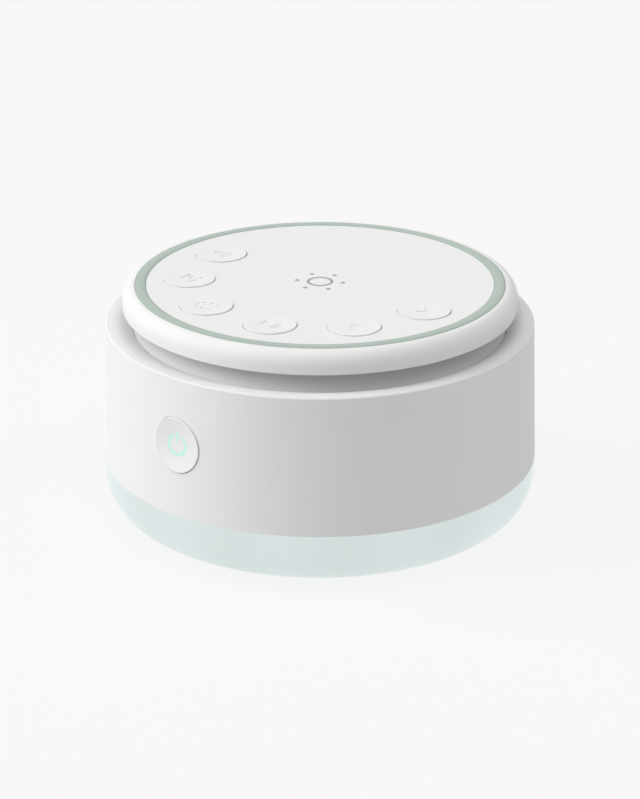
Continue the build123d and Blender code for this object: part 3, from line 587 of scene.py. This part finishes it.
def circuit(name):
    """A circuit board's green mask over its copper."""
    made, board = material(name)
    place = board.add("ShaderNodeTexCoord", out="Object")
    cells = {"Vector": place, "Scale": 1 / cell_size, "Randomness": 0.8}
    edge = board.add("ShaderNodeTexVoronoi", {"feature": "DISTANCE_TO_EDGE"}, cells)
    run = edge < copper_share
    haze = board.noise(place, mask_haze_size)
    mask = board.tint(haze, linear(22, 84, 56), linear(28, 94, 62))
    surface(board, Base_Color=board.tint(run, mask, linear(46, 122, 82)),
            Roughness=0.3 + haze * 0.15, Normal=bump(board, run, copper_height, strength=0.6))
    return made


def fibrous(name, dark, light, size, squeeze, depth, roughness):
    """Foam when `squeeze` is even, paper when it is drawn long one way."""
    made, board = material(name)
    place = board.add("ShaderNodeTexCoord", out="Object")
    drawn = board.add("ShaderNodeMapping", {}, {"Vector": place, "Scale": squeeze})
    fibre = board.noise(drawn, size, detail=5.0, rough=0.7)
    surface(board, Base_Color=board.tint(fibre, dark, light), Roughness=roughness + fibre * 0.1,
            Normal=bump(board, fibre, depth, strength=0.8))
    return made


lamp_half = 2.5 * MM                  # half the side of a lamp's case
gel_radius = 1.9 * MM
gel_haze_size = 0.5 * MM
lamp_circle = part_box("light_leds")[1].x - lamp_half


def lamp_gel(name, circle):
    """A white body with a round window of yellow gel in the middle of each lamp."""
    made, board = material(name)
    place = board.add("ShaderNodeTexCoord", out="Object")
    x, y, _ = board.axes(place)
    step = 2 * pi / lamp_count
    turn = (y.math("ARCTAN2", x) + step / 2).math("FLOORED_MODULO", step) - step / 2
    beside = turn * circle
    off = radius_of(board, place) - circle
    gel = (off * off + beside * beside) ** 0.5 < gel_radius
    haze = board.noise(place, gel_haze_size)
    body = board.tint(haze, linear(232, 232, 228), linear(240, 240, 238))
    yellow = board.tint(haze, linear(226, 202, 92), linear(236, 214, 112))
    surface(board, Base_Color=board.tint(gel, body, yellow), Roughness=0.25 + haze * 0.2)
    return made


even, long_fibres = (1, 1, 1), (1, 1, 6)
inside_finishes = {
    "board_green": circuit("board_mask"),
    "foam_grey": fibrous(
        "gasket_foam", linear(40, 40, 42), linear(78, 78, 80),
        size=0.5 * MM, squeeze=even, depth=0.1 * MM, roughness=0.8),
    "cone_paper": fibrous(
        "cone_paper", linear(50, 49, 47), linear(74, 72, 69),
        size=0.8 * MM, squeeze=long_fibres, depth=0.03 * MM, roughness=0.7),
    "mesh_grey": fibrous(
        "mesh_nylon", linear(86, 87, 88), linear(112, 113, 114),
        size=0.1 * MM, squeeze=even, depth=0.004 * MM, roughness=0.5),
    "led_white": lamp_gel("lamp_gel", lamp_circle),
}
finishes.update(inside_finishes)
print("finishes in all:", len(finishes))

# %% Put the finishes on the CAD nodes
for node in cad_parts.values():
    for slot in node.material_slots:
        slot.material = finishes[slot.material.name]
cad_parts["upper_shell"].material_slots[0].material = finishes["housing_white_and_grey"]
print("dressed nodes:", len(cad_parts))

# %% [markdown]
# ## Geometry Nodes as a workshop
# What repeats or follows a rule is made by that rule, not by hand. A Workshop holds one Geometry
# Nodes tree. Its sizes are named inputs, so the same tree can be tried with other sizes in the
# modifier's panel. When the rule is written, `make` puts it on an empty mesh, sets the inputs by
# their sockets' identifiers, takes the finished mesh and drops the modifier: what is left is a
# plain mesh.

# %% The workshop
class Workshop(Board):
    """A Geometry Nodes tree with named sizes."""

    def __init__(self, name, sizes):
        super().__init__(bpy.data.node_groups.new(name, "GeometryNodeTree"))
        self.sizes = sizes
        panel = self.tree.interface
        panel.new_socket("Mesh", in_out="OUTPUT", socket_type="NodeSocketGeometry")
        for label, size in sizes.items():
            kind = "NodeSocketInt" if isinstance(size, int) else "NodeSocketFloat"
            panel.new_socket(label, in_out="INPUT", socket_type=kind)
        self.given = self.tree.nodes.new("NodeGroupInput")

    def size(self, label):
        """A named size, as a wire."""
        return Wire(self, self.given.outputs[label])

    def combine(self, x, y, z):
        """A vector."""
        return self.add("ShaderNodeCombineXYZ", {}, {0: x, 1: y, 2: z})

    def around(self, radius, turn, height):
        """The vector of a place, given by its distance from the axis, its turn and its height."""
        return self.combine(radius * turn.math("COSINE"), radius * turn.math("SINE"), height)

    def circle(self, points, radius):
        """A round curve."""
        return self.add("GeometryNodeCurvePrimitiveCircle", {"mode": "RADIUS"},
                        {"Resolution": points, "Radius": radius})

    def sweep(self, track, section, caps=False):
        """The skin that a section leaves along a curve."""
        return self.add("GeometryNodeCurveToMesh", {},
                        {"Curve": track, "Profile Curve": section, "Fill Caps": caps})

    def change(self, thing, **how):
        """A geometry moved, turned or scaled."""
        return self.add("GeometryNodeTransform", {}, {0: thing, **how})

    def lift(self, thing, height):
        """A geometry raised to a height."""
        return self.change(thing, Translation=self.combine(0.0, 0.0, height))

    def join(self, *parts):
        """Several geometries as one."""
        joined = self.add("GeometryNodeJoinGeometry")
        for part in parts:
            self.tree.links.new(part.socket, joined.socket.node.inputs[0])
        return joined

    def make(self, result, finish, slot_name, sharp=radians(35)):
        """The tree's mesh as an object that rides on the machine."""
        real = self.add("GeometryNodeRealizeInstances", {}, {0: result})
        painted = self.add("GeometryNodeSetMaterial", {}, {"Geometry": real, "Material": finish})
        end = self.tree.nodes.new("NodeGroupOutput")
        self.tree.links.new(painted.socket, end.inputs[0])
        made = bpy.data.objects.new(self.tree.name, bpy.data.meshes.new(self.tree.name))
        bpy.context.scene.collection.objects.link(made)
        modifier = made.modifiers.new("rule", "NODES")
        modifier.node_group = self.tree
        for item in self.tree.interface.items_tree:
            if item.in_out == "INPUT":
                modifier[item.identifier] = self.sizes[item.name]
        view = bpy.context.evaluated_depsgraph_get()
        mesh = bpy.data.meshes.new_from_object(made.evaluated_get(view))
        made.modifiers.remove(modifier)
        made.data = mesh
        mesh.name = self.tree.name
        mesh.shade_smooth()
        mesh.set_sharp_from_angle(angle=sharp)
        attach(made, "machine")
        print(made.name, "has", len(mesh.vertices), "vertices and", len(mesh.polygons), "faces")
        return made


# %% [markdown]
# ## The glowing band
# The band's section is a superellipse: a corner that turns from the upright wall to the flat foot
# with no visible start or end. One formula gives it, with t running from 0 at the joint to a
# quarter turn at the foot: across = reach * cos(t) ** (2 / power), and the same with sin, down.
# A flat grid is wrapped by it. A point's row gives its place along the section, out along the
# outer corner, over the step that holds the base plate, and back along the inner corner. Its
# column gives the turn round the axis. Welding the first and last rows and columns together
# closes the skin.

# %% Wrap a grid into the band
band_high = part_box("light_diffuser")[1]
base_low, base_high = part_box("base_plate")
base_radius = base_high.x
band_wall = 2.2 * MM
corner_reach = 22 * MM
corner_power = 3.1
middle_radius = band_high.x - corner_reach
seam = 0.05 * MM                      # open between the base plate and the step round it
flange_depth = 1.2 * MM               # thickness of the base plate's edge, which fills the step
lap = 2.05 * MM                       # how far the band reaches in over that edge
step_radius = base_radius + seam
opening = base_radius - lap
weld_distance = 0.002 * MM


def corner_turn(radius, reach):
    """The t at which the corner comes in to a radius."""
    return acos(((radius - middle_radius) / reach) ** (corner_power / 2))


shop = Workshop("light_band", {
    "Middle radius": middle_radius, "Corner reach": corner_reach,
    "Band height": band_high.z - base_low.z, "Wall": band_wall, "Top": band_high.z,
    "Power": corner_power, "Step radius": step_radius, "Step height": base_low.z + flange_depth,
    "Opening": opening, "Outer end": corner_turn(step_radius, corner_reach),
    "Inner end": corner_turn(opening, corner_reach - band_wall), "Turns": 241, "Corner rows": 40})


def corner(shop, turn, reach, fall):
    """Radius and height of a point of the superellipse."""
    exponent = 2 / shop.size("Power")
    radius = shop.size("Middle radius") + reach * turn.math("COSINE") ** exponent
    return radius, shop.size("Top") - fall * turn.math("SINE") ** exponent


def rows_between(row, first, last):
    """A mask: 1 on the rows from the first to the last, 0 elsewhere."""
    return (row > first - 0.5) * (row < last + 0.5)


rows = shop.size("Corner rows")
row_count = rows * 2 + 3              # two corners, two rows for the step and one that closes
grid = shop.add("GeometryNodeMeshGrid", {},
                {"Vertices X": shop.size("Turns"), "Vertices Y": row_count})
index = shop.add("GeometryNodeInputIndex")
column = (index / row_count).math("FLOOR")
row = index - column * row_count
out_turn = (row / (rows - 1)).clamp() * shop.size("Outer end")
back_turn = (1 - ((row - rows - 2) / (rows - 1))).clamp() * shop.size("Inner end")
outer = corner(shop, out_turn, shop.size("Corner reach"), shop.size("Band height"))
inner = corner(shop, back_turn, shop.size("Corner reach") - shop.size("Wall"),
               shop.size("Band height") - shop.size("Wall"))
step = (shop.size("Step radius"), shop.size("Step height"))
edge = (shop.size("Opening"), shop.size("Step height"))
start = (shop.size("Middle radius") + shop.size("Corner reach"), shop.size("Top"))
stretches = (
    (rows_between(row, 0, rows - 1), outer), (rows_between(row, rows, rows), step),
    (rows_between(row, rows + 1, rows + 1), edge),
    (rows_between(row, rows + 2, rows * 2 + 1), inner),
    (row > rows * 2 + 1.5, start))
radius, height = (sum(mask * point[axis] for mask, point in stretches) for axis in (0, 1))
turn = column / (shop.size("Turns") - 1) * (2 * pi)
place = shop.around(radius, turn, height)
wrapped = shop.add("GeometryNodeSetPosition", {}, {"Geometry": grid, "Position": place})
welded = shop.add("GeometryNodeMergeByDistance", {},
                  {"Geometry": wrapped, "Distance": weld_distance})
outward = shop.add("GeometryNodeFlipFaces", {}, {0: welded})
band = shop.make(outward, finishes["diffuser_mint"], "diffuser_mint")
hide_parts("light_diffuser")

# %% [markdown]
# ## The ring's crown
# The CAD ring is flat on top. On the real one the lacquer stands up in a low crown, which is why
# one flank of the ring looks lighter than the other. A flattened circle, swept round the axis,
# makes it: its lower half is sunk in the ring, and its upper half is the crown.

# %% Sweep the crown
crown_height = 0.22 * MM
crown_margin = 0.08 * MM              # bare at each edge of the ring
shop = Workshop("ring_crown", {
    "Middle radius": ring_middle, "Half width": ring_width / 2 - crown_margin,
    "Crown height": crown_height, "Ring height": ring_high.z, "Turns": 240, "Section points": 28})
track = shop.circle(shop.size("Turns"), shop.size("Middle radius"))
flatter = shop.combine(shop.size("Half width"), shop.size("Crown height"), 1.0)
section = shop.change(shop.circle(shop.size("Section points"), 1.0), Scale=flatter)
crown = shop.lift(shop.sweep(track, section), shop.size("Ring height"))
shop.make(crown, finishes["ring_sage"], "ring_sage")

# %% [markdown]
# ## The brightness mark
# The middle of the panel is touched to set the band's light. A grey print shows where: a ring with
# six dots, a small sun. Ink from a pad stands a hundredth or two of a millimetre proud. The ring
# is a circle swept with a flat section, and the dots are one short cylinder, set on six points of
# a larger circle.

# %% Print the brightness mark
ink_speckle_size = 0.15 * MM
ink_depth = 0.002 * MM


def ink(name, colour):
    """A pad print's ink, which covers a little unevenly."""
    made, board = material(name)
    place = board.add("ShaderNodeTexCoord", out="Object")
    cover = board.noise(place, ink_speckle_size, detail=3.0, rough=0.6)
    surface(board, Base_Color=board.tint(cover, shade(colour, 0.94), shade(colour, 1.06)),
            Roughness=0.5 + (cover - 0.5) * 0.2, Normal=bump(board, cover, ink_depth))
    return made


panel_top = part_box("control_panel")[1].z
dots_turn = (0, 0, radians(30))       # brings two of the dots in line with front and back
shop = Workshop("brightness_mark", {
    "Ring radius": 2.97 * MM, "Stroke": 0.8 * MM, "Dot circle": 5.8 * MM, "Dot radius": 0.62 * MM,
    "Ink height": 0.03 * MM, "Panel height": panel_top, "Dots": 6, "Ring points": 96,
    "Dot points": 28})
track = shop.circle(shop.size("Ring points"), shop.size("Ring radius"))
flat = shop.add("GeometryNodeCurvePrimitiveQuadrilateral", {"mode": "RECTANGLE"},
                {"Width": shop.size("Stroke"), "Height": shop.size("Ink height")})
dot_places = shop.add("GeometryNodeMeshCircle", {"fill_type": "NONE"},
                      {"Vertices": shop.size("Dots"), "Radius": shop.size("Dot circle")})
dot_sizes = {"Vertices": shop.size("Dot points"), "Radius": shop.size("Dot radius"),
             "Depth": shop.size("Ink height")}
dot = shop.add("GeometryNodeMeshCylinder", {"fill_type": "NGON"}, dot_sizes)
dots = shop.add("GeometryNodeInstanceOnPoints", {}, {"Points": dot_places, "Instance": dot})
turned = shop.change(dots, Rotation=dots_turn)
mark = shop.lift(shop.join(shop.sweep(track, flat), turned), shop.size("Panel height"))
shop.make(mark, ink("mark_ink", linear(158, 158, 160)), "panel_white")

# %% [markdown]
# ## The dust mesh
# Behind the sound slots at the back lies a woven nylon mesh that keeps dust out. Its wires follow
# a rule: where the numbers of a ring and an upright add up to an even number, the ring passes
# outside and the upright inside, and where the sum is odd they change places. Points are laid in
# wire after wire, and their index alone says where each one goes. Points to Curves then threads
# them, and a thin round section makes them wires.

# %% Weave the dust mesh
mesh_low, mesh_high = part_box("dust_mesh")
wire_radius = 0.07 * MM
half_sheet = 0.15 * MM                # half the thickness of the CAD model's plain sheet
half_angle = radians(49.8)            # how far round the mesh reaches to each side of the back
shop = Workshop("dust_mesh_weave", {
    "Radius": mesh_high.y - half_sheet, "Foot": mesh_low.z + wire_radius,
    "Height": mesh_high.z - mesh_low.z - 2 * wire_radius, "Half angle": half_angle,
    "Wire radius": wire_radius, "Swing": wire_radius, "Uprights": 145, "Rings": 9,
    "Wire sides": 6})


def wires(shop, across, along, upright):
    """Wires across one way of the mesh, each with a point at every wire of the other way."""
    points = shop.add("GeometryNodePoints", {}, {"Count": shop.size(across) * shop.size(along)})
    index = shop.add("GeometryNodeInputIndex")
    wire = (index / shop.size(along)).math("FLOOR")
    crossing = index - wire * shop.size(along)
    column, row = (wire, crossing) if upright else (crossing, wire)
    parity = (wire + crossing).math("FLOORED_MODULO", 2.0)
    side = 1.0 if upright else -1.0
    radius = shop.size("Radius") + (parity * 2 - 1) * shop.size("Swing") * side
    turn = pi / 2 + (column / (shop.size("Uprights") - 1) * 2 - 1) * shop.size("Half angle")
    height = shop.size("Foot") + row / (shop.size("Rings") - 1) * shop.size("Height")
    place = shop.around(radius, turn, height)
    placed = shop.add("GeometryNodeSetPosition", {}, {"Geometry": points, "Position": place})
    curves = shop.add("GeometryNodePointsToCurves", {},
                      {"Points": placed, "Curve Group ID": wire, "Weight": index})
    section = shop.circle(shop.size("Wire sides"), shop.size("Wire radius"))
    return shop.sweep(curves, section, caps=True)


uprights = wires(shop, "Uprights", "Rings", upright=True)
rings = wires(shop, "Rings", "Uprights", upright=False)
woven = shop.join(uprights, rings)
cloth = shop.make(woven, finishes["mesh_grey"], "mesh_grey", sharp=radians(70))
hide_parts("dust_mesh")

# %% [markdown]
# ## The inlet's contacts
# A reversible inlet has twelve gold contacts on each side of its tongue, half a millimetre
# apart. One small pad, set on a line of twelve points, and a second such line under the tongue
# make them all.

# %% Lay the contacts
pad_level = 0.35 * MM                 # over and under the tongue's middle
pad_depth = 3.4 * MM                  # from the inlet's mouth to the pads' middle
pad_middle = inlet_high.y - pad_depth
shop = Workshop("inlet_contacts", {
    "Pitch": 0.5 * MM, "Pad width": 0.25 * MM, "Pad length": 3.0 * MM, "Pad thickness": 0.03 * MM,
    "Contacts": 12})
count, pitch = shop.size("Contacts"), shop.size("Pitch")
first = shop.combine(pitch * (count - 1) * -0.5, 0.0, 0.0)
spots = {"Count": count, "Start Location": first, "Offset": shop.combine(pitch, 0.0, 0.0)}
line = shop.add("GeometryNodeMeshLine", {"mode": "OFFSET"}, spots)
pad_size = shop.combine(
    shop.size("Pad width"), shop.size("Pad length"), shop.size("Pad thickness"))
pad = shop.add("GeometryNodeMeshCube", {}, {"Size": pad_size})
pads = shop.add("GeometryNodeInstanceOnPoints", {}, {"Points": line, "Instance": pad})
lines = [shop.change(pads, Translation=(0, pad_middle, level))
         for level in (inlet_z - pad_level, inlet_z + pad_level)]
gold = metal("contact_gold", linear(222, 184, 106), 0.24, cloud_size=0.6 * MM)
shop.make(shop.join(*lines), gold, "contact_spring")

# %% [markdown]
# ## Measure and finish
# The dressed machine has to be as large as its CAD model. How far its box has grown past the
# CAD model's box is printed.

# %% Compare the boxes and finish
shown_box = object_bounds()
growth = [shown - given for pair in zip(cad_box, shown_box) for given, shown in zip(*pair)]
print("grown by mm:", [round(change / MM, 3) for change in growth])
